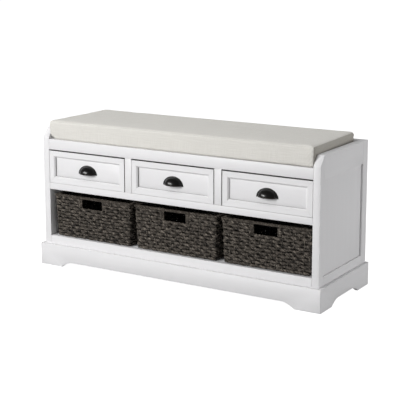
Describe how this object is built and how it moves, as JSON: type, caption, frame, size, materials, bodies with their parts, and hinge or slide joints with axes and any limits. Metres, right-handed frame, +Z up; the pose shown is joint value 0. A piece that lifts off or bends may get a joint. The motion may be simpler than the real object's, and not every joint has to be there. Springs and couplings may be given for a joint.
{
  "type": "entryway bench",
  "caption": "Low storage bench on a bracket-foot plinth, with a loose box cushion, shallow drawers with cup pulls and an open bay of woven baskets.",
  "frame": {"origin": "centre of the bench's footprint, on the floor", "axes": "+X along the bench towards its right-hand end as seen from the front, -Y out of its front, +Z up"},
  "size_m": [1.07, 0.36, 0.5023],
  "materials": {
    "white_paint": "satin",
    "drawer_box_wood": "matte",
    "drawer_bottom_board": "matte",
    "back_hardboard": "matte",
    "pull_metal": "satin",
    "woven_rope": "matte",
    "basket_wire": "satin",
    "cushion_linen": "matte"
  },
  "bodies": {
    "case": {"plinth_front": "white_paint", "plinth_left": "white_paint", "plinth_right": "white_paint", "left_front_stile": "white_paint", "left_rear_stile": "white_paint", "left_top_rail": "white_paint", "left_bottom_rail": "white_paint", "left_side_panel": "white_paint", "right_front_stile": "white_paint", "right_rear_stile": "white_paint", "right_top_rail": "white_paint", "right_bottom_rail": "white_paint", "right_side_panel": "white_paint", "front_top_rail": "white_paint", "front_middle_rail": "white_paint", "front_bottom_rail": "white_paint", "back_top_rail": "white_paint", "back_bottom_rail": "white_paint", "seat_board": "white_paint", "drawer_deck": "white_paint", "bottom_shelf": "white_paint", "back_panel": "back_hardboard", "drawer_divider_1": "white_paint", "drawer_divider_2": "white_paint", "drawer_partition_1": "white_paint", "drawer_partition_2": "white_paint", "foot_block_front_left": "white_paint", "foot_block_front_right": "white_paint", "foot_block_rear_left": "white_paint", "foot_block_rear_right": "white_paint"},
    "drawer_1": {"drawer_1_front_frame": "white_paint", "drawer_1_front_panel": "white_paint", "drawer_1_left_side": "drawer_box_wood", "drawer_1_right_side": "drawer_box_wood", "drawer_1_back": "drawer_box_wood", "drawer_1_bottom": "drawer_bottom_board", "drawer_1_cup_pull": "pull_metal"},
    "drawer_2": {"drawer_2_front_frame": "white_paint", "drawer_2_front_panel": "white_paint", "drawer_2_left_side": "drawer_box_wood", "drawer_2_right_side": "drawer_box_wood", "drawer_2_back": "drawer_box_wood", "drawer_2_bottom": "drawer_bottom_board", "drawer_2_cup_pull": "pull_metal"},
    "drawer_3": {"drawer_3_front_frame": "white_paint", "drawer_3_front_panel": "white_paint", "drawer_3_left_side": "drawer_box_wood", "drawer_3_right_side": "drawer_box_wood", "drawer_3_back": "drawer_box_wood", "drawer_3_bottom": "drawer_bottom_board", "drawer_3_cup_pull": "pull_metal"},
    "basket_1": {"basket_1_woven_shell": "woven_rope", "basket_1_wire_frame": "basket_wire"},
    "basket_2": {"basket_2_woven_shell": "woven_rope", "basket_2_wire_frame": "basket_wire"},
    "basket_3": {"basket_3_woven_shell": "woven_rope", "basket_3_wire_frame": "basket_wire"},
    "cushion": {"seat_cushion": "cushion_linen"}
  },
  "joints": [
    {"name": "drawer_1_slide", "type": "slide", "parent": "case", "child": "drawer_1", "axis": [0, -1, 0], "range_m": [0, 0.2]},
    {"name": "drawer_2_slide", "type": "slide", "parent": "case", "child": "drawer_2", "axis": [0, -1, 0], "range_m": [0, 0.2]},
    {"name": "drawer_3_slide", "type": "slide", "parent": "case", "child": "drawer_3", "axis": [0, -1, 0], "range_m": [0, 0.2]},
    {"name": "basket_1_pull_out", "type": "slide", "parent": "case", "child": "basket_1", "axis": [0, -1, 0], "range_m": [0, 0.34]},
    {"name": "basket_2_pull_out", "type": "slide", "parent": "case", "child": "basket_2", "axis": [0, -1, 0], "range_m": [0, 0.34]},
    {"name": "basket_3_pull_out", "type": "slide", "parent": "case", "child": "basket_3", "axis": [0, -1, 0], "range_m": [0, 0.34]},
    {"name": "cushion_lift", "type": "slide", "parent": "case", "child": "cushion", "axis": [0, 0, 1], "range_m": [0, 0.1]}
  ]
}
